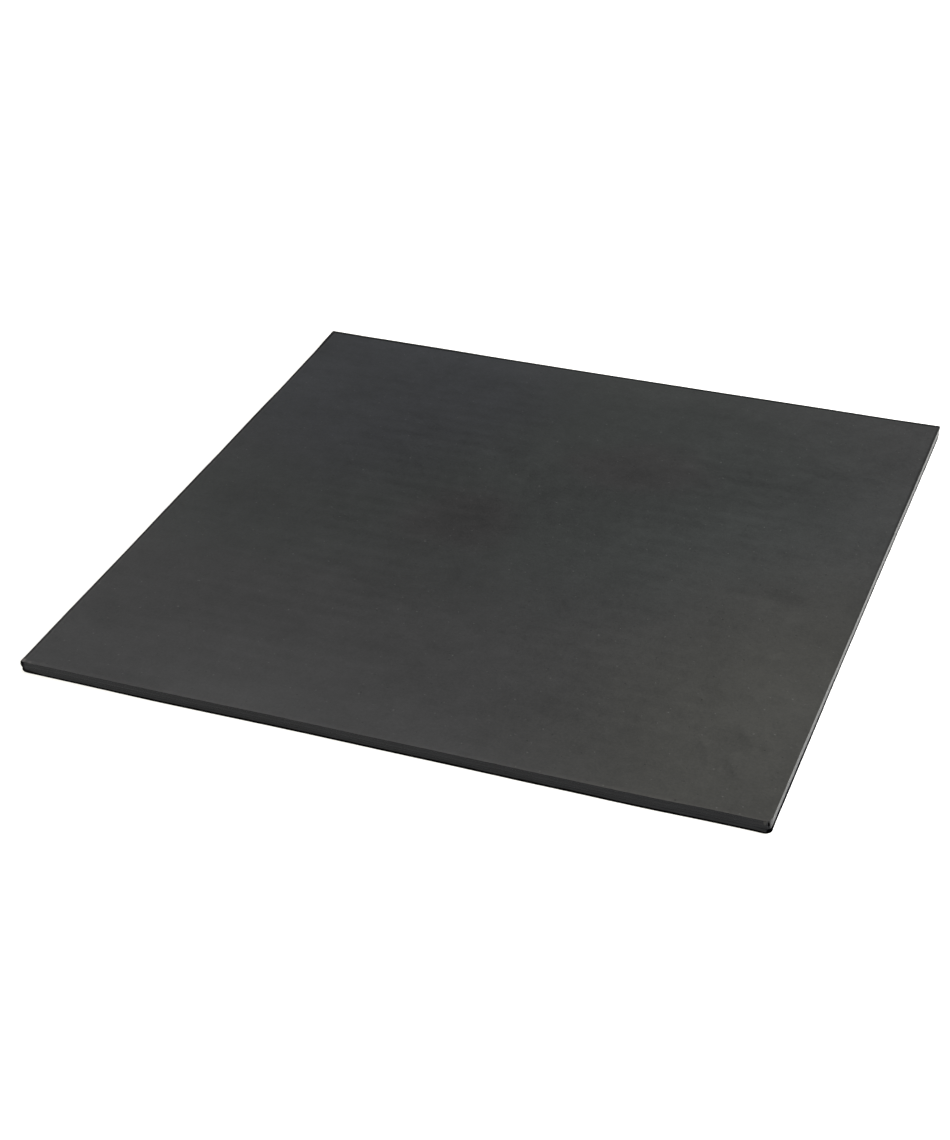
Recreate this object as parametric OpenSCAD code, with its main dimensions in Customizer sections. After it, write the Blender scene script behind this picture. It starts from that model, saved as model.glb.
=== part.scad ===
// Self healing mat for leather work: a square black slab laid up from five
// fused plies and sheared to size in one cut. Two thin matte cutting skins face
// outward, two softer healing plies close up behind the blade, and a stiff core
// sheet in the middle stops the cut and keeps the slab flat.
// The mat is the same on both faces, so it can be turned over.
// Frame: origin at the centre of the underside, +Z up, sides along X and Y.

/* [Mat] */
// Side length of the square mat
mat_side = 304.8; // [150:0.1:610]
// Radius of the four upright corners
corner_r = 1.2; // [0.6:0.1:6]

/* [Plies] */
// Thickness of each outer cutting skin
skin_t = 0.8; // [0.4:0.05:1.5]
// Thickness of each soft healing ply
healing_t = 1.3; // [0.6:0.05:3]
// Thickness of the stiff core sheet
core_t = 1.0; // [0.5:0.05:2]

/* [Cut edge] */
// Bevel along the outer rim of each skin
rim_bevel = 0.25; // [0.05:0.05:0.35]
// How far the healing plies stand back from the skins at the sheared edge
healing_setback = 0.1; // [0:0.05:0.2]
// How far the core sheet stands back from the skins at the sheared edge
core_setback = 0.25; // [0:0.05:0.4]

/* [Hidden] */
$fn = 64;
// Heights of the ply faces, from the underside up
z_lower_healing = skin_t;
z_core = z_lower_healing + healing_t;
z_upper_healing = z_core + core_t;
z_top_skin = z_upper_healing + healing_t;
mat_t = z_top_skin + skin_t;
echo(mat_thickness = mat_t);

// Square outline of the mat, standing back from the full size by inset,
// with its four corners rounded by true arcs
module outline(inset = 0) {
    r = corner_r - inset;
    c = mat_side / 2 - corner_r;
    square([2 * (c + r), 2 * c], center = true);
    square([2 * c, 2 * (c + r)], center = true);
    for (x = [-c, c], y = [-c, c]) translate([x, y]) circle(r = r);
}

// Cross-section of a skin: flat on its fused face at y = 0 and bevelled
// on both rims of its outer face at y = skin_t
module skin_section() {
    h = mat_side / 2;
    polygon([[-h, 0], [h, 0], [h, skin_t - rim_bevel], [h - rim_bevel, skin_t],
             [-h + rim_bevel, skin_t], [-h, skin_t - rim_bevel]]);
}

// One cutting skin with its working face up
module skin_sheet() {
    h = mat_side / 2;
    intersection() {
        linear_extrude(height = skin_t) outline();
        translate([0, h, 0]) rotate([90, 0, 0])
            linear_extrude(height = mat_side) skin_section();
        translate([-h, 0, 0]) rotate([90, 0, 90])
            linear_extrude(height = mat_side) skin_section();
    }
}

// One inner ply of thickness t, standing back from the skins by inset
module ply_sheet(t, inset) {
    linear_extrude(height = t) outline(inset);
}

// Lower working face, which rests on the bench
module bottom_cutting_skin() {
    color([0.085, 0.085, 0.085])
        translate([0, 0, skin_t]) rotate([180, 0, 0]) skin_sheet();
}

// Soft ply behind the lower working face
module lower_healing_ply() {
    color([0.045, 0.045, 0.047])
        translate([0, 0, z_lower_healing]) ply_sheet(healing_t, healing_setback);
}

// Stiff sheet that stops the blade and holds the mat flat
module core_sheet() {
    color([0.035, 0.035, 0.035])
        translate([0, 0, z_core]) ply_sheet(core_t, core_setback);
}

// Soft ply behind the upper working face
module upper_healing_ply() {
    color([0.045, 0.045, 0.047])
        translate([0, 0, z_upper_healing]) ply_sheet(healing_t, healing_setback);
}

// Upper working face, which takes the cuts and punch blows
module top_cutting_skin() {
    color([0.085, 0.085, 0.085])
        translate([0, 0, z_top_skin]) skin_sheet();
}

bottom_cutting_skin();
lower_healing_ply();
core_sheet();
upper_healing_ply();
top_cutting_skin();
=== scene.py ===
"""Looks of the self healing mat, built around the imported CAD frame.

Five fused plies are rebuilt as detailed meshes: two working faces with the low ripple of a rolled sheet, a rim
that is rolled over by the shear, an edge that is a little hollow at mid depth, and worn, slightly lifted corners.
"""

import math

import bpy
import numpy as np
from mathutils import Matrix, Vector


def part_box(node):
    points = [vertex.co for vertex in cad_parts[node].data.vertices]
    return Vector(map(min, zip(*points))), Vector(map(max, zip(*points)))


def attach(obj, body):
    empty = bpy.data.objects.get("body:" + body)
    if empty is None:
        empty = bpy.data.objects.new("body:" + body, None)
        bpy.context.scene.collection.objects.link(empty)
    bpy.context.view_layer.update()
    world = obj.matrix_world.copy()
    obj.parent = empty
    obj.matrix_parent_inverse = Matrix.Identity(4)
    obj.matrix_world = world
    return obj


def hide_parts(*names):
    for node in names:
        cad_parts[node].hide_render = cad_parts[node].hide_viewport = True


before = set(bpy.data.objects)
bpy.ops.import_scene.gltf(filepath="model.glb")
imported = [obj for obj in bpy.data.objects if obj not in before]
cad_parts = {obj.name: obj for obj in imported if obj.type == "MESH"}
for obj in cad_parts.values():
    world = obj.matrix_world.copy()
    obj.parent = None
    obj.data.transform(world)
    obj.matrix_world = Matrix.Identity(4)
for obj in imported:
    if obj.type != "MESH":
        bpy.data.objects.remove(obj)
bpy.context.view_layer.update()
scene = bpy.context.scene
MM = 0.001

# ---------------------------------------------------------------- sizes, all from the frame
skin_lo, skin_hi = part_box("top_cutting_skin")
HALF = (skin_hi.x - skin_lo.x) / 2  # half of the mat's side
TOP = skin_hi.z
LEVELS = {n: (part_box(n)[0].z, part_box(n)[1].z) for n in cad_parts}

# ---------------------------------------------------------------- camera
cam_data = bpy.data.cameras.new("camera")
cam = bpy.data.objects.new("camera", cam_data)
scene.collection.objects.link(cam)
cam_axes = Matrix(
    (
        (0.933480702, 0.357933984, -0.022294415),
        (-0.175613978, 0.510428308, 0.841797288),
        (0.312687558, -0.781886313, 0.539333186),
    )
)
cam.matrix_world = (
    Matrix.Translation((0.28734556, -0.76468072, 0.51125093))
    @ cam_axes.transposed().to_4x4()
)
cam_data.sensor_width = 36.0
cam_data.sensor_fit = "AUTO"
cam_data.lens = 70.8757
cam_data.clip_start, cam_data.clip_end = 0.01, 60
scene.camera = cam


# ---------------------------------------------------------------- seeded noise, the same on every run
class Noise:
    def __init__(self, seed):
        rng = np.random.RandomState(seed)
        self.perm = np.tile(rng.permutation(256), 2)
        g = rng.normal(size=(256, 3))
        self.grad = g / np.linalg.norm(g, axis=1)[:, None]

    def __call__(self, x, y, z=0.0):
        p = np.stack(np.broadcast_arrays(x, y, z), -1).astype(float)
        cell = np.floor(p).astype(int)
        f = p - cell
        cell &= 255
        w = f * f * f * (f * (f * 6 - 15) + 10)
        total = np.zeros(p.shape[:-1])
        for dx in (0, 1):
            for dy in (0, 1):
                for dz in (0, 1):
                    h = self.perm[
                        self.perm[self.perm[cell[..., 0] + dx] + cell[..., 1] + dy]
                        + cell[..., 2]
                        + dz
                    ]
                    d = f - np.array([dx, dy, dz], float)
                    weight = (
                        (w[..., 0] if dx else 1 - w[..., 0])
                        * (w[..., 1] if dy else 1 - w[..., 1])
                        * (w[..., 2] if dz else 1 - w[..., 2])
                    )
                    total += weight * (self.grad[h] * d).sum(-1)
        return total * 1.6

    def layers(self, x, y, z=0.0, octaves=3):
        total, size, share = 0.0, 1.0, 1.0
        for k in range(octaves):
            total = total + share * self(x * size + 17.3 * k, y * size - 9.1 * k, z * size)
            size, share = size * 2.0, share * 0.5
        return total


N_BOW, N_EDGE, N_NICK, N_TOP, N_BASE = (Noise(s) for s in (11, 23, 37, 51, 77))


def smooth(t):
    t = np.clip(t, 0.0, 1.0)
    return t * t * (3 - 2 * t)


def bump(t, middle, width):
    return np.exp(-(((t - middle) / width) ** 2))


# ---------------------------------------------------------------- plan grid
# Lines stand close together near the rim, so that the corners are smooth arcs. They are closer along Y than
# along X, because the ripple of the sheet runs along X.
NEAR = [0.0, 0.10, 0.22, 0.36, 0.52, 0.70, 0.92, 1.20, 1.60, 2.15, 2.9, 3.8]


def lines(count):
    rim = [-1 + d * MM / HALF for d in NEAR]
    inner = np.linspace(rim[-1], -rim[-1], count)[1:-1]
    return np.array(rim + list(inner) + [-t for t in rim[::-1]])


XS, YS = lines(168), lines(304)
NX, NY = len(XS), len(YS)
RING = (
    [(i, 0) for i in range(NX - 1)]
    + [(NX - 1, j) for j in range(NY - 1)]
    + [(i, NY - 1) for i in range(NX - 1, 0, -1)]
    + [(0, j) for j in range(NY - 1, 0, -1)]
)
RING_A = np.array([XS[i] for i, j in RING])
RING_B = np.array([YS[j] for i, j in RING])
SIDES = {"left": (-1, 0), "right": (1, 0), "front": (0, -1), "back": (0, 1)}
CORNERS = {"front_left": (-1, -1), "front_right": (1, -1), "back_right": (1, 1), "back_left": (-1, 1)}


def side_blend(a, b, values):
    """A value given for each side, blended smoothly round the corners."""
    total, weight = 0.0, 0.0
    for side, (sx, sy) in SIDES.items():
        d = (1 - (a * sx if sx else b * sy)) * HALF / MM
        w = 1.0 / (d + 0.8) ** 2
        total, weight = total + w * values[side], weight + w
    return total / weight


def corner_pick(a, b, values):
    """The value of the corner whose quadrant holds the point."""
    out = np.zeros(np.broadcast(a, b).shape)
    for corner, (sx, sy) in CORNERS.items():
        here = ((a >= 0) == (sx > 0)) & ((b >= 0) == (sy > 0))
        out = np.where(here, values[corner], out)
    return out


def corner_near(a, b, corner, reach):
    """1 at a corner of the square, falling to 0 at reach millimetres from it."""
    sx, sy = CORNERS[corner]
    d = np.hypot((1 - a * sx) * HALF, (1 - b * sy) * HALF) / MM
    return smooth(1 - d / reach)


def plan(a, b, inset, radius):
    """A point of the unit square, taken to the mat's rounded square that stands back by inset."""
    h = HALF - inset
    c = h - radius
    x, y = a * h, b * h
    p, q = (np.abs(x) - c) / radius, (np.abs(y) - c) / radius
    inside = (p > 0) & (q > 0)
    k = np.where(inside, np.maximum(p, q) / np.maximum(np.hypot(p, q), 1e-12), 1.0)
    ax = np.where(inside, c + radius * p * k, np.abs(x))
    ay = np.where(inside, c + radius * q * k, np.abs(y))
    return np.copysign(ax, x), np.copysign(ay, y)


# ---------------------------------------------------------------- the whole slab's own shape
LIFT = {"front_left": 0.12, "front_right": 0.22, "back_right": 0.22, "back_left": 0.48}
# How far each sheared side stands out from a straight line, in millimetres, at shares of its length
# (front and back from left to right, left and right from front to back)
DRIFT = {
    "front": ((0, -0.12), (0.06, -0.04), (0.19, 0.30), (0.40, -0.12), (0.56, -0.02), (0.72, 0.27), (0.84, 0.42), (0.94, 0.06), (1, 0.02)),
    "back": ((0, 0.80), (0.06, 0.66), (0.17, 0.78), (0.32, 0.40), (0.48, 0.26), (0.65, 0.30), (0.80, 0.36), (0.92, 0.14), (1, 0.38)),
    "left": ((0, 0.14), (0.12, 0.18), (0.26, 0.02), (0.45, 0.22), (0.58, 0.12), (0.70, 0.22), (0.80, 0.02), (0.92, 0.18), (1, 0.80)),
    "right": ((0, 0.30), (0.10, 0.30), (0.22, 0.20), (0.34, 0.05), (0.52, 0.02), (0.68, 0.12), (0.82, 0.26), (1, 0.30)),
}


# How far the upper rim of a side stands back from its foot, in millimetres: the blade did not cut quite upright
LEAN = {
    "front": ((0, -0.25), (0.08, -0.08), (0.20, 0.20), (0.33, 0.20), (0.45, 0.06), (0.60, 0.24), (0.72, 0.40), (0.85, 0.52), (0.94, 0.66), (1, 0.50)),
    "right": ((0, 0.20), (0.12, 0.26), (0.24, 0.14), (0.36, -0.05), (0.55, -0.08), (0.80, -0.14), (1, -0.08)),
}


def drift(side, s, table=DRIFT):
    """Smooth curve through the side's listed points."""
    xs, ys = np.array(table[side]).T
    k = np.clip(np.searchsorted(xs, s, side="right") - 1, 0, len(xs) - 2)
    t = np.clip((s - xs[k]) / (xs[k + 1] - xs[k]), 0, 1)
    return ys[k] + (ys[k + 1] - ys[k]) * smooth(t)


def settle(x, y, z):
    """Bends every point of every ply alike: corners a little lifted, sides not quite straight."""
    u, v = x / HALF, y / HALF
    mix = 0.0
    for corner, (sx, sy) in CORNERS.items():
        mix = mix + LIFT[corner] * (1 + sx * u) * (1 + sy * v) / 4
    dz = MM * mix * (u * v) ** 2
    dx, dy = 0.0, 0.0
    for side, (sx, sy) in SIDES.items():
        near = smooth(1 - (HALF - (x * sx + y * sy)) / (16 * MM))
        along = (u if sy else v) / 2 + 0.5
        fine = 0.05 * N_BOW.layers(along * 21, 3.7 * sx + 8.3 * sy, 0.5, 2)
        out = MM * near * (drift(side, np.clip(along, 0, 1)) + fine)
        dx, dy = dx + sx * out, dy + sy * out
    return x + dx, y + dy, z + dz


RIB = 8.72 * MM  # from one rib of the press roller to the next


def face_relief(x, y, which):
    """Height of a working face: the low ribs of a rolled sheet along X, and slow unevenness."""
    n = N_TOP if which > 0 else N_BASE
    phase = 0.8 * n.layers(x * 20, y * 34, 3.1, 2) + math.radians(0.35) * x / MM + math.radians(-104)
    strength = 0.35 + 0.65 * np.clip(0.5 + 1.2 * n.layers(x * 15, y * 26, 8.7, 2), 0, 1)
    wave = np.cos(2 * math.pi * y / RIB + phase) * strength
    streak = n.layers(x * 14, y * 150, 5.9, 2)
    slow = n.layers(x * 17, y * 22, 1.3, 3)
    return MM * (0.0055 * wave + 0.006 * streak + 0.018 * slow)


# Rim of a working face: how far the shear rolled it over, in millimetres, on each side
ROLL_TOP = {"left": 0.06, "right": 0.05, "front": 0.08, "back": 0.06}
ROLL_BASE = {"left": 0.20, "right": 0.10, "front": 0.10, "back": 0.20}
# Plan radius of the corners, in millimetres, at the top and near the bench
CORNER_TOP = {"front_left": 1.0, "front_right": 1.2, "back_right": 0.7, "back_left": 0.8}
CORNER_BASE = {"front_left": 1.5, "front_right": 2.7, "back_right": 1.2, "back_left": 1.2}


def hollow(z):
    """How far the sheared edge stands back at height z: deepest in the stiff core."""
    t = z / MM
    return MM * (0.06 * bump(t, 2.6, 1.15))


def edge_inset(a, b, z, groove):
    """Stand-back of one row of the sheared edge, with its fine waver and its corner wear."""
    x, y, t = a * HALF, b * HALF, z / MM
    inset = hollow(z)
    inset = inset - MM * 0.030 * N_EDGE.layers(x * 150, y * 150, z * 420, 3)
    inset = inset - MM * 0.014 * N_NICK.layers(x * 700, y * 700, z * 900, 2)
    inset = inset + MM * 0.045 * groove
    for side in LEAN:
        sx, sy = SIDES[side]
        near = smooth(1 - (1 - (a * sx if sx else b * sy)) * HALF / (4 * MM))
        along = (b if sx else a) / 2 + 0.5
        inset = inset + MM * near * drift(side, along, LEAN) * z / TOP
    lobes = (
        # corner, reach, height, spread, how far it stands back (positive) or swells (negative)
        ("front_left", 4.5, 3.5, 1.05, -0.22),
        ("front_left", 2.8, 2.05, 0.36, 0.12),
        ("front_left", 3.0, 0.9, 0.60, -0.12),
        ("front_left", 2.6, 0.1, 0.40, 0.14),
        ("front_right", 6.5, 1.1, 1.30, -0.24),
        ("front_right", 10.0, 0.6, 1.10, -0.12),
        ("back_right", 2.6, 4.3, 0.70, -0.08),
        ("back_right", 2.2, 2.0, 0.60, 0.12),
        ("back_right", 2.6, 0.2, 0.60, 0.25),
        ("back_left", 2.6, 4.2, 0.60, -0.10),
        ("back_left", 2.2, 2.6, 0.60, 0.16),
        ("back_left", 2.6, 0.2, 0.60, 0.25),
    )
    for corner, reach, height, spread, amount in lobes:
        inset = inset + MM * amount * corner_near(a, b, corner, reach) * bump(t, height, spread)
    # a crack in the worn front right corner
    d = (1 - a) * HALF / MM
    crack = bump(d, 0.40, 0.30) * smooth(1 - (1 + b) * HALF / (2 * MM)) * bump(t, 3.6, 1.3)
    return inset + MM * 0.42 * crack


def rim_roll(a, b, which):
    """Radius of the rolled rim round a working face."""
    roll = MM * side_blend(a, b, ROLL_TOP if which > 0 else ROLL_BASE)
    if which < 0:
        for corner in CORNERS:
            roll = roll + MM * 0.22 * corner_near(a, b, corner, 3.0)
    else:
        # the rim is rubbed round at the front left corner, and a burr hangs by the crack at the front right one
        roll = roll + MM * 0.38 * corner_near(a, b, "front_left", 3.4)
        d = (1 - a) * HALF / MM
        roll = roll + MM * 0.55 * bump(d, 2.0, 0.60) * smooth(1 - (1 + b) * HALF / (2 * MM))
    return np.minimum(roll, 0.72 * MM)


def corner_radius(a, b, z):
    top, base = corner_pick(a, b, CORNER_TOP), corner_pick(a, b, CORNER_BASE)
    return MM * (base + (top - base) * smooth(z / MM / 2.4))


def ring_at(rows_a, rows_b, z, groove=0.0, extra=0.0):
    inset = edge_inset(rows_a, rows_b, z, groove) + extra
    x, y = plan(rows_a, rows_b, inset, corner_radius(rows_a, rows_b, z))
    return np.stack(settle(x, y, z), -1)


def wall_rows(z_from, z_to):
    """Rows of a ply's sheared wall between its two fused faces, closing into a fine groove at each."""
    rows = []
    for t in (0.0, 0.05, 0.13, 0.26, 0.42, 0.58, 0.74, 0.87, 0.95, 1.0):
        z = z_from + (z_to - z_from) * t
        groove = 1.0 if t in (0.0, 1.0) else (0.35 if t in (0.05, 0.95) else 0.0)
        rows.append(ring_at(RING_A, RING_B, np.full(len(RING_A), z), groove))
    return rows


def rolled_rows(which):
    """Rows round a skin's rim, from the border of its working face to its fused face."""
    roll = rim_roll(RING_A, RING_B, which)
    face, fused = (TOP, LEVELS["top_cutting_skin"][0]) if which > 0 else (0.0, LEVELS["bottom_cutting_skin"][1])
    rows = []
    for step in range(1, 8):
        angle = math.pi / 2 * step / 7
        z = face - which * roll * (1 - math.cos(angle))
        rows.append(ring_at(RING_A, RING_B, z, 0.0, roll * (1 - math.sin(angle))))
    for t, groove in ((0.35, 0.0), (0.65, 0.0), (0.87, 0.0), (0.95, 0.35), (1.0, 1.0)):
        z = (face - which * roll) * (1 - t) + fused * t
        rows.append(ring_at(RING_A, RING_B, z, groove))
    return rows, roll


def face_grid(which):
    """Vertices of a working face, NX by NY, whose border is where its rim starts."""
    a, b = np.meshgrid(XS, YS, indexing="ij")
    roll = rim_roll(a, b, which)
    face = TOP if which > 0 else 0.0
    z = np.full(a.shape, face)
    border = np.minimum(1 - np.abs(a), 1 - np.abs(b)) * HALF / MM
    rim_share = smooth(1 - border / 6.0)  # the edge's own waver dies out 6 mm in
    inset = edge_inset(a, b, z, 0.0) * rim_share + roll
    x, y = plan(a, b, inset, corner_radius(a, b, z))
    relief = face_relief(x, y, which) * smooth(border / 2.5)
    x, y, z = settle(x, y, z)
    return np.stack((x, y, z + which * relief if which > 0 else z - np.minimum(relief, 0.03 * MM) * 0.5), -1)


def fused_face(z):
    """A fused face inside the laminate: a coarse grid within the ring, the same for both plies that meet on it."""
    n = 30
    lin = np.linspace(-1, 1, n + 1) * (1 - 4 * MM / HALF)
    a, b = np.meshgrid(lin, lin, indexing="ij")
    x, y, zz = settle(a * HALF, b * HALF, np.full(a.shape, z))
    return np.stack((x, y, zz), -1), n


class Mesh:
    """Collects rings and grids into one closed mesh, with a material number for each face."""

    def __init__(self):
        self.points, self.faces, self.kind, self.flat, self.count = [], [], [], [], 0

    def add(self, pts):
        pts = pts.reshape(-1, 3)
        first = self.count
        self.points.append(pts)
        self.count += len(pts)
        return np.arange(first, first + len(pts))

    def put(self, quads, kind, flat=False):
        quads = np.asarray(quads)
        self.faces.append(quads)
        self.kind.append(np.full(len(quads), kind))
        self.flat.append(np.full(len(quads), flat))

    def band(self, upper, lower, kind):
        """Quads between two rings that run the same way; upper is the one nearer +Z."""
        nu, nl = np.roll(upper, -1), np.roll(lower, -1)
        self.put(np.stack((upper, lower, nl, nu), -1), kind)

    def grid(self, ids, kind, up=True, flat=False):
        q = np.stack((ids[:-1, :-1], ids[1:, :-1], ids[1:, 1:], ids[:-1, 1:]), -1).reshape(-1, 4)
        self.put(q if up else q[:, ::-1], kind, flat)

    def close_fused(self, ring, z, kind, up):
        """Fills a ring with the coarse fused face."""
        pts, n = fused_face(z)
        ids = self.add(pts).reshape(n + 1, n + 1)
        self.grid(ids, kind, up, flat=True)
        inner = [ids[:, 0], ids[n, :], ids[::-1, n], ids[0, ::-1]]
        cuts = [0, NX - 1, NX + NY - 2, 2 * NX + NY - 3, len(ring)]
        closed = np.append(ring, ring[0])
        tris = []
        for s in range(4):
            out, inn = closed[cuts[s] : cuts[s + 1] + 1], inner[s]
            i, j, no, ni = 0, 0, len(out) - 1, len(inn) - 1
            lines_out = (XS, YS, XS, YS)[s]
            to = (lines_out - lines_out[0]) / (lines_out[-1] - lines_out[0])
            while i < no or j < ni:
                if j == ni or (i < no and to[i + 1] <= (j + 1) / ni):
                    tris.append((out[i], out[i + 1], inn[j]))
                    i += 1
                else:
                    tris.append((out[i], inn[j + 1], inn[j]))
                    j += 1
        tris = np.array(tris)
        self.put(tris if up else tris[:, ::-1], kind, True)

    def build(self, name, materials):
        mesh = bpy.data.meshes.new(name)
        pts = np.concatenate(self.points)
        faces = [f for block in self.faces for f in block.tolist()]
        mesh.from_pydata(pts.tolist(), [], faces)
        mesh.polygons.foreach_set("material_index", np.concatenate(self.kind).astype(np.int32))
        mesh.polygons.foreach_set("use_smooth", ~np.concatenate(self.flat))
        for m in materials:
            mesh.materials.append(m)
        mesh.validate()
        mesh.update()
        obj = bpy.data.objects.new(name, mesh)
        scene.collection.objects.link(obj)
        return obj


# ---------------------------------------------------------------- materials
class Nodes:
    """Short hand for building a node tree."""

    def __init__(self, name):
        self.material = bpy.data.materials.new(name)
        self.material.use_nodes = True
        self.tree = self.material.node_tree
        self.shader = self.tree.nodes["Principled BSDF"]
        self.object = self.tree.nodes.new("ShaderNodeTexCoord").outputs["Object"]

    def new(self, kind, **settings):
        node = self.tree.nodes.new(kind)
        for key, value in settings.items():
            setattr(node, key, value)
        return node

    def plug(self, value, socket):
        if isinstance(value, bpy.types.NodeSocket):
            self.tree.links.new(value, socket)
        else:
            socket.default_value = value

    def math(self, operation, a, b=0.0, clamp=False):
        node = self.new("ShaderNodeMath", operation=operation, use_clamp=clamp)
        self.plug(a, node.inputs[0])
        self.plug(b, node.inputs[1])
        return node.outputs[0]

    def scaled(self, sx, sy, sz, move=(0, 0, 0)):
        node = self.new("ShaderNodeMapping")
        self.plug(self.object, node.inputs["Vector"])
        node.inputs["Scale"].default_value = (sx, sy, sz)
        node.inputs["Location"].default_value = move
        return node.outputs[0]

    def noise(self, vector, scale=1.0, detail=2.0, rough=0.5, distortion=0.0):
        node = self.new("ShaderNodeTexNoise")
        self.plug(vector, node.inputs["Vector"])
        node.inputs["Scale"].default_value = scale
        node.inputs["Detail"].default_value = detail
        node.inputs["Roughness"].default_value = rough
        node.inputs["Distortion"].default_value = distortion
        return node.outputs["Fac"]

    def remap(self, value, a, b, c, d, smooth_steps=False):
        node = self.new("ShaderNodeMapRange")
        if smooth_steps:
            node.interpolation_type = "SMOOTHSTEP"
        self.plug(value, node.inputs["Value"])
        for key, number in zip(("From Min", "From Max", "To Min", "To Max"), (a, b, c, d)):
            node.inputs[key].default_value = number
        return node.outputs[0]

    def mix(self, factor, a, b):
        node = self.new("ShaderNodeMix", data_type="RGBA")
        self.plug(factor, node.inputs[0])
        for value, socket in ((a, node.inputs[6]), (b, node.inputs[7])):
            self.plug(value if isinstance(value, bpy.types.NodeSocket) else (*value, 1.0), socket)
        return node.outputs[2]

    def axis(self):
        node = self.new("ShaderNodeSeparateXYZ")
        self.plug(self.object, node.inputs[0])
        return node.outputs

    def bump(self, height, distance, strength=1.0, after=None):
        node = self.new("ShaderNodeBump")
        node.inputs["Strength"].default_value = strength
        node.inputs["Distance"].default_value = distance
        self.plug(height, node.inputs["Height"])
        if after is not None:
            self.plug(after, node.inputs["Normal"])
        return node.outputs[0]


def specks(n, per_metre, radius_mm, seed, keep, flat=False):
    """Tiny pale flecks: one in a share of the cells of a Voronoi pattern, each a different size. 1 inside a fleck."""
    cells = n.new("ShaderNodeTexVoronoi", voronoi_dimensions="2D" if flat else "3D", feature="F1")
    n.plug(n.scaled(1, 1, 1, (seed, seed * 0.7, seed * 0.3)), cells.inputs["Vector"])
    cells.inputs["Scale"].default_value = per_metre
    split = n.new("ShaderNodeSeparateColor")
    n.plug(cells.outputs["Color"], split.inputs[0])
    size = n.remap(split.outputs[0], 1 - keep, 1.0, 0.0, radius_mm * MM * per_metre)
    inside = n.math("LESS_THAN", cells.outputs["Distance"], size)
    return inside, split.outputs[1]


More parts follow.
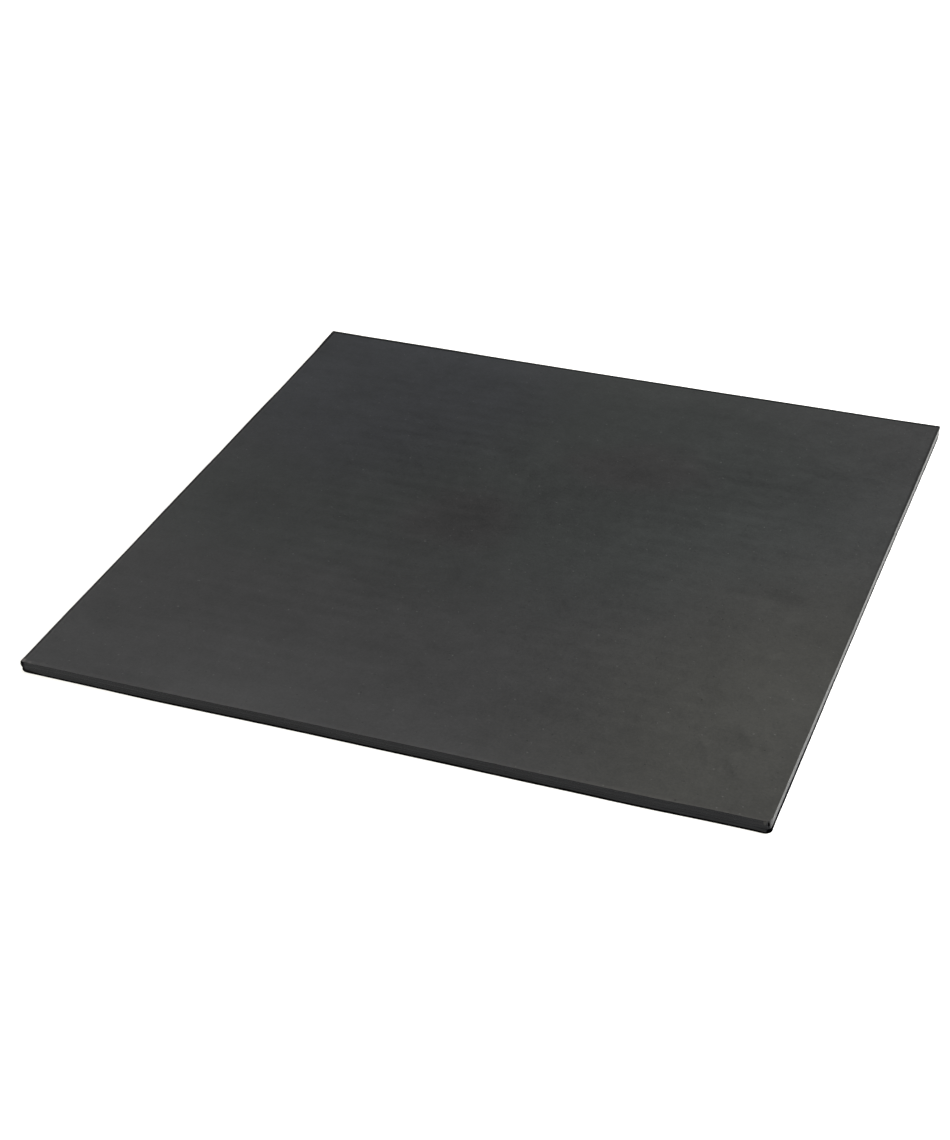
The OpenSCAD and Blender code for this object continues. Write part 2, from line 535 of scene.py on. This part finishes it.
def working_face(name, seed, patches, scuffs=()):
    """Satin black sheet: cloudy bloom, faint press ribs along X, pale flecks, a rim painted darker as shade, pale bands
    along the front and left rims painted as highlights, and scuffed corners.

    patches and scuffs are (x, y, half length, half width in mm, turn in degrees, strength): patches are broad and
    wander with the bloom, and on the upper face some of them are painted light and shade; scuffs are small and stay
    where they are put."""
    n = Nodes(name)
    x, y, z = n.axis()
    drift_noise = n.new("ShaderNodeTexNoise")
    n.plug(n.scaled(1, 1, 1, (seed, seed, 0)), drift_noise.inputs["Vector"])
    drift_noise.inputs["Scale"].default_value = 34
    drift_noise.inputs["Detail"].default_value = 3
    wander = n.new("ShaderNodeVectorMath", operation="MULTIPLY_ADD")
    n.plug(drift_noise.outputs["Color"], wander.inputs[0])
    wander.inputs[1].default_value = (0.026, 0.026, 0.0)
    n.plug(n.object, wander.inputs[2])
    cloud = n.noise(n.scaled(30, 36, 8, (seed, 0, 0)), detail=4, rough=0.58, distortion=0.5)
    wide = n.noise(n.scaled(8, 10, 4, (seed * 2, 3, 0)), detail=2)
    streak = n.noise(n.scaled(22, 230, 10, (seed, 5, 0)), detail=2.0, rough=0.5)
    mottle = n.noise(n.scaled(72, 76, 10, (seed, 4, 4)), detail=3, rough=0.95)
    where = n.noise(n.scaled(9, 14, 4, (seed * 3, 1, 0)), detail=1)
    grain = n.noise(n.scaled(1, 1, 1, (seed, 0, 9)), scale=1000, detail=3)
    tone = n.math("ADD", n.remap(cloud, 0.25, 0.75, -0.036, 0.036), n.remap(wide, 0.3, 0.7, -0.03, 0.03))
    ripple = n.math("MULTIPLY", n.remap(streak, 0.25, 0.75, -0.013, 0.013), n.remap(where, 0.35, 0.62, 0.65, 1.0))
    tone = n.math("ADD", tone, ripple)
    tone = n.math("ADD", tone, n.remap(mottle, 0.25, 0.75, -0.108, 0.108))
    # a lift of the tone that grows toward the right: the growth is painted light, the sheet drawn as if lit brighter on
    # the right
    tone = n.math("ADD", tone, n.remap(x, -HALF, HALF, 0.055, 0.100))
    # ribs left by the press roller: one every 8.72 mm, strongest down two lanes of the sheet
    waver = n.noise(n.scaled(20, 34, 10, (seed, 8, 2)), detail=2)
    turn = n.math("ADD", n.math("MULTIPLY", y, 2 * math.pi / RIB), n.math("MULTIPLY", x, math.radians(0.35) / MM))
    turn = n.math("ADD", turn, n.remap(waver, 0.2, 0.8, math.radians(-104) - 0.8, math.radians(-104) + 0.8))
    ribs = n.math("COSINE", turn)
    lane_a = n.remap(n.math("ABSOLUTE", n.math("ADD", x, 62 * MM)), 8 * MM, 78 * MM, 0.028, 0.002, True)
    lane_b = n.remap(n.math("ABSOLUTE", n.math("ADD", x, -76 * MM)), 6 * MM, 66 * MM, 0.026, 0.002, True)
    lane = n.math("MULTIPLY", n.math("MAXIMUM", lane_a, lane_b), n.remap(y, 112 * MM, 148 * MM, 1.0, 0.35, True))
    lane = n.math("MULTIPLY", lane, n.remap(y, -146 * MM, -112 * MM, 0.35, 1.0, True))
    ribs = n.math("MULTIPLY", ribs, n.math("MULTIPLY", lane, n.remap(where, 0.30, 0.70, 0.6, 1.4)))
    tone = n.math("ADD", tone, ribs)
    tone = n.math("ADD", tone, n.remap(grain, 0.2, 0.8, -0.16, 0.16))
    for px, py, rx, ry, turn, amount in patches:
        place = n.new("ShaderNodeMapping", vector_type="TEXTURE")
        n.plug(wander.outputs[0], place.inputs["Vector"])
        place.inputs["Location"].default_value = ((px + 13) * MM, (py + 13) * MM, 0)
        place.inputs["Rotation"].default_value = (0, 0, math.radians(turn))
        place.inputs["Scale"].default_value = (rx * MM, ry * MM, 1.0)
        ball = n.new("ShaderNodeTexGradient", gradient_type="SPHERICAL")
        n.plug(place.outputs[0], ball.inputs[0])
        tone = n.math("ADD", tone, n.remap(ball.outputs["Fac"], 0.0, 1.0, 0.0, amount, True))
    for px, py, rx, ry, turn, amount in scuffs:
        place = n.new("ShaderNodeMapping", vector_type="TEXTURE")
        n.plug(n.object, place.inputs["Vector"])
        place.inputs["Location"].default_value = (px * MM, py * MM, TOP)
        place.inputs["Rotation"].default_value = (0, 0, math.radians(turn))
        place.inputs["Scale"].default_value = (rx * MM, ry * MM, 4 * MM)
        ball = n.new("ShaderNodeTexGradient", gradient_type="SPHERICAL")
        n.plug(place.outputs[0], ball.inputs[0])
        mark = n.math("MULTIPLY", n.remap(ball.outputs["Fac"], 0.0, 0.8, 0.0, amount, True), n.remap(mottle, 0.35, 0.60, 0.5, 1.3))
        tone = n.math("ADD", tone, mark)
    # the bloom is not quite neutral: greenish in the middle, bluish at the back left, warm at the front right
    pale = (0.0456, 0.0456, 0.0456)
    for px, py, rx, ry, tint in (
        (-112, -8, 90, 62, (0.0428, 0.0456, 0.0444)),
        (10, 60, 185, 150, (0.0422, 0.0457, 0.0441)),
        (-108, 118, 118, 128, (0.0432, 0.0454, 0.0496)),
        (160, -108, 142, 168, (0.0458, 0.0456, 0.0417)),
        (-27, 3, 36, 34, (0.0456, 0.0446, 0.0446)),
        (34, 72, 42, 30, (0.0454, 0.0448, 0.0446)),
    ):
        place = n.new("ShaderNodeMapping", vector_type="TEXTURE")
        n.plug(wander.outputs[0], place.inputs["Vector"])
        place.inputs["Location"].default_value = ((px + 13) * MM, (py + 13) * MM, 0)
        place.inputs["Scale"].default_value = (rx * MM, ry * MM, 1.0)
        ball = n.new("ShaderNodeTexGradient", gradient_type="SPHERICAL")
        n.plug(place.outputs[0], ball.inputs[0])
        pale = n.mix(n.remap(ball.outputs["Fac"], 0.0, 0.65, 0.0, 1.0, True), pale, tint)
    colour = n.mix(n.math("ADD", tone, 0.5, True), (0.0065, 0.0067, 0.0067), pale)
    # the rim is painted darker along the back, left and right edges: painted shade where the rim rolls away; rubbing
    # has made the corners paler
    ax, ay = n.math("ABSOLUTE", x), n.math("ABSOLUTE", y)
    back_rim_shade = n.remap(y, HALF - 1.7 * MM, HALF - 1.0 * MM, 0.0, 0.85, True)
    left_rim_shade = n.remap(x, -HALF + 0.72 * MM, -HALF + 1.20 * MM, 0.92, 0.0, True)
    right_rim_shade = n.remap(x, HALF - 1.1 * MM, HALF - 0.3 * MM, 0.0, 1.0, True)
    right_rim_shade = n.math("MULTIPLY", right_rim_shade, n.remap(y, -0.60 * HALF, 0.75 * HALF, 0.0, 0.50, True))
    dark = n.math("MAXIMUM", n.math("MAXIMUM", back_rim_shade, left_rim_shade), right_rim_shade)
    colour = n.mix(dark, colour, (0.0020, 0.0020, 0.0022))
    corner = n.remap(n.math("ADD", ax, ay), 2 * HALF - 4.6 * MM, 2 * HALF - 1.6 * MM, 0.0, 1.0, True)
    patch = n.noise(n.scaled(1, 1, 1, (seed, 2, 2)), scale=330, detail=3, rough=0.6)
    # a pale band just inside the front rim: a painted highlight on the rolled lip
    front = n.remap(y, -HALF + 0.9 * MM, -HALF + 2.3 * MM, 0.095, 0.0, True)
    worn = n.math("MULTIPLY", corner, n.remap(patch, 0.42, 0.62, 0.0, 0.75))
    worn = n.math("MULTIPLY", worn, n.remap(n.math("ADD", x, y), -1.6 * HALF, -0.6 * HALF, 1.0, 0.12))
    # two rubbed spots by the front left corner
    for px, py, r, amount in ((0.75, 1.35, 1.4, 0.85), (3.6, 0.45, 1.5, 0.60), (9.5, 1.0, 2.0, 0.18)):
        place = n.new("ShaderNodeMapping", vector_type="TEXTURE")
        n.plug(n.object, place.inputs["Vector"])
        place.inputs["Location"].default_value = (-HALF + px * MM, -HALF + py * MM, TOP)
        place.inputs["Scale"].default_value = (r * MM, r * MM, 4 * MM)
        ball = n.new("ShaderNodeTexGradient", gradient_type="SPHERICAL")
        n.plug(place.outputs[0], ball.inputs[0])
        spot = n.math("MULTIPLY", n.remap(ball.outputs["Fac"], 0.0, 0.7, 0.0, amount, True), n.remap(patch, 0.30, 0.60, 0.45, 1.0))
        worn = n.math("MAXIMUM", worn, spot)
    # a pale band just inside the left rim: a painted highlight
    left_rim_highlight = n.math("MULTIPLY", n.remap(x, -HALF + 0.9 * MM, -HALF + 1.3 * MM, 0.0, 0.12, True), n.remap(x, -HALF + 1.4 * MM, -HALF + 2.3 * MM, 1.0, 0.0, True))
    # the painted highlights along the front and left rims and the paler worn corners share one pale colour
    colour = n.mix(n.math("MAXIMUM", n.math("MAXIMUM", front, left_rim_highlight), worn), colour, (0.104, 0.095, 0.091))
    big, shade_big = specks(n, 27, 0.48, seed + 1.0, 0.6, True)
    small, shade_small = specks(n, 120, 0.38, seed + 4.0, 0.9, True)
    pits, shade_pits = specks(n, 128, 0.42, seed + 9.0, 0.85, True)
    colour = n.mix(n.math("MULTIPLY", big, n.remap(shade_big, 0, 1, 0.07, 0.30)), colour, (0.140, 0.140, 0.135))
    colour = n.mix(n.math("MULTIPLY", small, n.remap(shade_small, 0, 1, 0.10, 0.33)), colour, (0.140, 0.140, 0.135))
    colour = n.mix(n.math("MULTIPLY", pits, n.remap(shade_pits, 0, 1, 0.14, 0.72)), colour, (0.0090, 0.0090, 0.0092))
    n.plug(colour, n.shader.inputs["Base Color"])
    rough = n.math("ADD", n.remap(cloud, 0.25, 0.75, 0.46, 0.56), n.remap(streak, 0.25, 0.75, -0.02, 0.02))
    n.plug(rough, n.shader.inputs["Roughness"])
    n.shader.inputs["IOR"].default_value = 1.42
    fine = n.noise(n.scaled(1, 1, 1, (seed, 7, 1)), scale=5200, detail=2)
    soft = n.noise(n.scaled(300, 700, 300, (seed, 1, 4)), detail=2)
    normal = n.bump(soft, 0.012 * MM, 1.0)
    normal = n.bump(fine, 0.010 * MM, 1.0, normal)
    normal = n.bump(n.math("SUBTRACT", n.math("ADD", big, small), pits), 0.03 * MM, 0.6, normal)
    n.plug(normal, n.shader.inputs["Normal"])
    return n.material


def cut_edge(name, seed, dark, pale, rough_from, rough_to, ior, shine_front=0.5, shine_back=0.5, foot=0.0, smear_and_crack_shade=False):
    """A sheared ply edge: fine upright drag marks from the blade and a few pale crumbs.

    The shine of the right side runs from shine_front, at its front end, to shine_back: the blade polished it on its
    way.
    The foot height is where the edge below it is painted black, a painted shadow where it meets the bench; the smear
    switch rubs face colour down beside the crack and paints the crack black, as painted shade."""
    n = Nodes(name)
    x, y, z = n.axis()
    drag = n.noise(n.scaled(1500, 1500, 130, (seed, 0, 0)), detail=2.5, rough=0.6)
    patch = n.noise(n.scaled(120, 120, 260, (0, seed, 0)), detail=3, rough=0.55)
    tone = n.math("ADD", n.remap(drag, 0.3, 0.7, -0.26, 0.26), n.remap(patch, 0.3, 0.7, -0.34, 0.34))
    tone = n.math("ADD", tone, n.remap(x, -HALF, -0.2 * HALF, 0.45, 0.0, True))
    colour = n.mix(n.math("ADD", tone, 0.5, True), dark, pale)
    # the right side is painted paler, more toward the back: a painted highlight standing in for the side lamp's
    # reflection, which that lamp leaves out
    side = n.remap(x, HALF - 1.6 * MM, HALF - 0.7 * MM, 0.0, 1.0, True)
    if not foot and ior > 1.2:
        colour = n.mix(n.math("MULTIPLY", side, n.remap(y, -HALF, HALF, 0.30, 0.56)), colour, (0.0290, 0.0290, 0.0282))
    crumbs, shade = specks(n, 500, 0.20, seed, 0.25)
    colour = n.mix(n.math("MULTIPLY", crumbs, n.remap(shade, 0, 1, 0.05, 0.4)), colour, (0.06, 0.06, 0.058))
    if foot:
        # painted shade at the foot: the edge is painted black below the foot height, a painted shadow where it meets
        # the bench; it climbs a little at the two front corners
        climb = n.math("MULTIPLY", side, n.remap(y, -HALF + 2 * MM, -HALF + 14 * MM, -1.15 * MM, 0.0, True))
        climb = n.math("ADD", climb, n.remap(x, -HALF + 1 * MM, -HALF + 10 * MM, -0.70 * MM, 0.0, True))
        height = n.math("ADD", n.math("ADD", z, climb), n.remap(patch, 0.3, 0.7, -0.1 * MM, 0.1 * MM))
        low = n.remap(height, foot, foot + 0.25 * MM, 1.0, 0.0, True)
        colour = n.mix(low, colour, (0.0004, 0.0004, 0.0005))
    if smear_and_crack_shade:
        place = n.new("ShaderNodeMapping", vector_type="TEXTURE")
        n.plug(n.object, place.inputs["Vector"])
        place.inputs["Location"].default_value = (HALF - 2.0 * MM, -HALF + 0.6 * MM, 5.0 * MM)
        place.inputs["Scale"].default_value = (0.85 * MM, 2.0 * MM, 1.55 * MM)
        ball = n.new("ShaderNodeTexGradient", gradient_type="SPHERICAL")
        n.plug(place.outputs[0], ball.inputs[0])
        colour = n.mix(n.remap(ball.outputs["Fac"], 0.0, 0.45, 0.0, 0.85, True), colour, (0.036, 0.035, 0.033))
        # the crack painted near black, its shine taken away further down: painted shade in the crack
        crack_shade_place = n.new("ShaderNodeMapping", vector_type="TEXTURE")
        n.plug(n.object, crack_shade_place.inputs["Vector"])
        crack_shade_place.inputs["Location"].default_value = (HALF - 0.62 * MM, -HALF + 0.5 * MM, 3.3 * MM)
        crack_shade_place.inputs["Scale"].default_value = (0.62 * MM, 1.0 * MM, 3.2 * MM)
        crack_shade_ball = n.new("ShaderNodeTexGradient", gradient_type="SPHERICAL")
        n.plug(crack_shade_place.outputs[0], crack_shade_ball.inputs[0])
        crack = n.remap(crack_shade_ball.outputs["Fac"], 0.0, 0.40, 0.0, 1.0, True)
        colour = n.mix(crack, colour, (0.0006, 0.0006, 0.0007))
    # the left side is painted near black: painted shade, that side turned away from the lamps
    colour = n.mix(n.remap(x, -HALF + 0.8 * MM, -HALF + 1.75 * MM, 0.90, 0.0, True), colour, (0.0004, 0.0004, 0.0005))
    n.plug(colour, n.shader.inputs["Base Color"])
    n.plug(n.remap(drag, 0.3, 0.7, rough_from, rough_to), n.shader.inputs["Roughness"])
    n.shader.inputs["IOR"].default_value = ior
    # the left side is duller all along
    shine = n.remap(x, -HALF + 0.9 * MM, -HALF + 2.0 * MM, 0.05, 0.5, True)
    if shine_front != shine_back:
        fade = n.remap(y, -0.72 * HALF, 0.3 * HALF, shine_front - 0.5, shine_back - 0.5)
        shine = n.math("ADD", shine, n.math("MULTIPLY", side, fade))
    if smear_and_crack_shade:
        shine = n.math("MULTIPLY", shine, n.remap(crack, 0.0, 1.0, 1.0, 0.02))
    if foot:
        shine = n.math("MULTIPLY", shine, n.remap(low, 0.0, 1.0, 1.0, 0.25))
    n.plug(shine, n.shader.inputs["Specular IOR Level"])
    normal = n.bump(drag, 0.020 * MM, 1.0)
    normal = n.bump(patch, 0.05 * MM, 0.6, normal)
    n.plug(normal, n.shader.inputs["Normal"])
    return n.material


# Blooms and smudges of the upper face, some of them painted light and shade standing for uneven lighting across the
# sheet: centre, radii (mm), turn (degrees), paler or darker
UPPER_BLOOM_AND_LIGHT_PATCHES = (
    (-28, 3, 38, 28, 10, -0.12),
    (36, 66, 30, 46, -20, -0.06),
    (-56, 72, 60, 44, 15, -0.08),
    (-122, -8, 30, 20, 0, -0.06),
    (-12, 60, 12, 70, 4, 0.07),
    (130, -92, 50, 84, 0, 0.14),
    (126, -112, 14, 18, 30, -0.12),
    (-92, -126, 80, 34, 3, 0.08),
    (-135, -112, 20, 18, 0, -0.12),
    (121, -8, 30, 12, 0, -0.07),
    (0, 25, 100, 70, 0, -0.12),
    (20, -152, 150, 44, 0, 0.17),
    (128, -30, 30, 60, 0, 0.04),
    (108, 76, 50, 30, 0, -0.12),
    (-142, 108, 26, 38, 0, 0.11),
    (-20, 157, 190, 32, 0, 0.19),
    (-112, 152, 64, 24, 0, 0.12),
    (-60, -108, 56, 24, 0, 0.06),
    (108, -126, 24, 38, 0, 0.08),
    (145, 108, 22, 28, 0, -0.07),
    (138, -122, 34, 50, 0, 0.11),
    (-75, -150, 50, 24, 0, 0.10),
    (-105, 0, 50, 50, 0, -0.06),
    (-38, -52, 28, 40, 0, -0.08),
    (52, -34, 40, 28, 0, -0.06),
    (62, 72, 42, 24, 0, -0.06),
    (-66, -147, 54, 24, 0, 0.09),
    (40, -148, 34, 20, 0, -0.06),
    (-52, 30, 26, 22, 0, -0.05),
    (-8, -42, 34, 38, 0, -0.09),
    (-42, -26, 32, 16, 0, -0.06),
    (-36, -124, 72, 26, 0, 0.09),
    (-46, -148, 50, 20, 0, 0.05),
    (112, -146, 34, 22, 0, 0.05),
    (92, -82, 44, 54, 0, 0.05),
    (-96, 36, 40, 38, 0, -0.06),
    (-76, -12, 32, 22, 0, -0.05),
    (60, 48, 30, 22, 0, -0.05),
    (16, 78, 30, 26, 0, -0.045),
    (132, 122, 24, 22, 0, -0.06),
    (134, 36, 26, 38, 0, 0.04),
    (-122, 134, 52, 26, 0, 0.055),
    (36, -52, 36, 26, 0, -0.06),
    (-10, -66, 22, 14, 0, -0.05),
    (-16, -10, 34, 20, 0, -0.045),
    (-124, -30, 30, 34, 0, -0.045),
    (122, 8, 26, 18, 0, 0.04),
    (-136, 120, 30, 30, 0, 0.04),
    (-47, 104, 20, 16, 0, -0.04),
)
SCUFFS = (
    (130, -106.5, 7.5, 2.6, -52, -0.12),
    (118.5, -121, 11, 2.8, -65, -0.11),
    (130.5, -127, 10.5, 3.0, -60, -0.13),
    (139, -111, 6.0, 2.4, -68, -0.12),
    (118, -114, 3.4, 3.0, 0, 0.15),
    (130.5, -118, 3.6, 3.0, 0, 0.14),
    (128.5, -51, 5.5, 4.5, 0, 0.09),
    (112, -82, 13, 6.0, -48, -0.07),
    (122, -9.5, 13, 8.0, -8, -0.09),
    (-35, 60, 32, 8.0, -62, 0.07),
    (-10, 50, 11, 3.2, -85, -0.10),
    (-12, -38, 20, 5.0, -88, -0.08),
)
UNDER_SMUDGES = (
    (40, -30, 60, 36, 25, -0.10),
    (-80, 60, 70, 40, -10, 0.08),
    (100, 90, 50, 60, 0, 0.08),
    (-110, -100, 40, 30, 40, -0.09),
)
FACE_TOP = working_face("skin_face_upper", 3.0, UPPER_BLOOM_AND_LIGHT_PATCHES, SCUFFS)
FACE_BASE = working_face("skin_face_lower", 8.0, UNDER_SMUDGES)
CUT_SKIN = cut_edge("upper_skin_cut_edge", 1.0, (0.0012, 0.0017, 0.0029), (0.0056, 0.0064, 0.0083), 0.32, 0.46, 1.275, smear_and_crack_shade=True)
CUT_HEAL = cut_edge("upper_healing_cut_edge", 5.0, (0.0011, 0.0016, 0.0027), (0.0054, 0.0062, 0.0080), 0.32, 0.46, 1.275, smear_and_crack_shade=True)
CUT_CORE = cut_edge("core_cut_edge", 9.0, (0.0012, 0.0017, 0.0029), (0.0060, 0.0068, 0.0086), 0.32, 0.46, 1.275)
# the lower healing ply's edge is painted black below 0.95 mm: a painted shadow at its foot
CUT_HEAL_LOW = cut_edge("lower_healing_cut_edge", 14.0, (0.0018, 0.0023, 0.0034), (0.0084, 0.0091, 0.0112), 0.40, 0.54, 1.275, 0.0, 0.125, foot=0.95 * MM)
# the lower skin's edge is near black and hardly shiny: painted shade, a dark line where the mat meets the bench
CUT_SKIN_LOW = cut_edge("lower_skin_cut_edge", 19.0, (0.0004, 0.0004, 0.0005), (0.0016, 0.0016, 0.0018), 0.60, 0.75, 1.08, 0.0, 0.04)


# ---------------------------------------------------------------- the five plies
def skin(name, node, which):
    m = Mesh()
    grid = m.add(face_grid(which)).reshape(NX, NY)
    m.grid(grid, 0, up=which > 0)
    ring = np.array([grid[i, j] for i, j in RING])
    rows, _ = rolled_rows(which)
    for k, row in enumerate(rows):
        ids = m.add(row)
        kind = 0 if k < 3 and which > 0 else 1
        if which > 0:
            m.band(ring, ids, kind)
        else:
            m.band(ids, ring, kind)
        ring = ids
    level = LEVELS[node][0] if which > 0 else LEVELS[node][1]
    m.close_fused(ring, level, 1, up=which < 0)
    return m.build(name, [FACE_TOP, CUT_SKIN] if which > 0 else [FACE_BASE, CUT_SKIN_LOW])


def inner_ply(name, node, material):
    m = Mesh()
    low, high = LEVELS[node]
    rows = [m.add(r) for r in wall_rows(high, low)]
    for upper, lower in zip(rows, rows[1:]):
        m.band(upper, lower, 0)
    m.close_fused(rows[0], high, 0, up=True)
    m.close_fused(rows[-1], low, 0, up=False)
    return m.build(name, [material])


plies = [
    (skin("top_skin", "top_cutting_skin", 1), "top_cutting_skin", "cutting_skin"),
    (inner_ply("upper_ply", "upper_healing_ply", CUT_HEAL), "upper_healing_ply", "healing_ply"),
    (inner_ply("core_ply", "core_sheet", CUT_CORE), "core_sheet", "stiff_core"),
    (inner_ply("lower_ply", "lower_healing_ply", CUT_HEAL_LOW), "lower_healing_ply", "healing_ply"),
    (skin("bottom_skin", "bottom_cutting_skin", -1), "bottom_cutting_skin", "cutting_skin"),
]
for obj, node, slot_name in plies:
    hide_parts(node)
    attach(obj, "root")

# ---------------------------------------------------------------- white light table and soft studio light
floor_mesh = bpy.data.meshes.new("floor")
S, FZ = 9.0, -0.06 * MM
floor_mesh.from_pydata([(-S, -S, FZ), (S, -S, FZ), (S, S, FZ), (-S, S, FZ)], [], [(0, 1, 2, 3)])
floor = bpy.data.objects.new("floor", floor_mesh)
scene.collection.objects.link(floor)
table_top = bpy.data.materials.new("white_table")
table_top.use_nodes = True
tb = table_top.node_tree.nodes["Principled BSDF"]
tb.inputs["Base Color"].default_value = (0.60, 0.60, 0.60, 1)
tb.inputs["Roughness"].default_value = 0.9
tb.inputs["Specular IOR Level"].default_value = 0.0
tb.inputs["Emission Color"].default_value = (1.0, 0.982, 0.92, 1)
tb.inputs["Emission Strength"].default_value = 0.85
floor_mesh.materials.append(table_top)

world = bpy.data.worlds.new("studio")
scene.world = world
world.use_nodes = True
back = world.node_tree.nodes["Background"]
back.inputs["Color"].default_value = (1, 1, 1, 1)
# a dim room whose walls pale toward the horizon, so that the table runs out into them in low views
way_up = world.node_tree.nodes.new("ShaderNodeSeparateXYZ")
world.node_tree.links.new(world.node_tree.nodes.new("ShaderNodeTexCoord").outputs["Generated"], way_up.inputs[0])
paling = world.node_tree.nodes.new("ShaderNodeMapRange")
paling.interpolation_type = "SMOOTHSTEP"
world.node_tree.links.new(way_up.outputs["Z"], paling.inputs["Value"])
for key, number in zip(("From Min", "From Max", "To Min", "To Max"), (0.02, 0.12, 1.0, 0.09)):
    paling.inputs[key].default_value = number
world.node_tree.links.new(paling.outputs[0], back.inputs["Strength"])


def softbox(name, azimuth, elevation, distance, size, power, colour=(1, 1, 1)):
    data = bpy.data.lights.new(name, "AREA")
    data.shape, data.size, data.energy, data.color = "DISK", size, power, colour
    light = bpy.data.objects.new(name, data)
    a, e = math.radians(azimuth), math.radians(elevation)
    way = Vector((math.sin(a) * math.cos(e), -math.cos(a) * math.cos(e), math.sin(e)))
    light.location = way * distance
    light.rotation_mode = "QUATERNION"
    light.rotation_quaternion = (-way).to_track_quat("-Z", "Y")
    light.visible_camera = False
    scene.collection.objects.link(light)
    return light


# azimuth 0 is in front, 90 on the right, 180 behind
softbox("overhead", 0, 88, 1.9, 1.6, 12)
# the side lamp is left out of reflections, which no real lamp is: its mirror image whitened the sheet at low angles
softbox("right_side", 90, 29.36, 0.918, 0.4, 17.3).visible_glossy = False
softbox("behind_left", 233.13, 30.96, 1.458, 0.45, 1.74)

scene.view_settings.view_transform = "Standard"
scene.view_settings.look = "None"
scene.view_settings.exposure = 0.0
scene.view_settings.gamma = 1.0
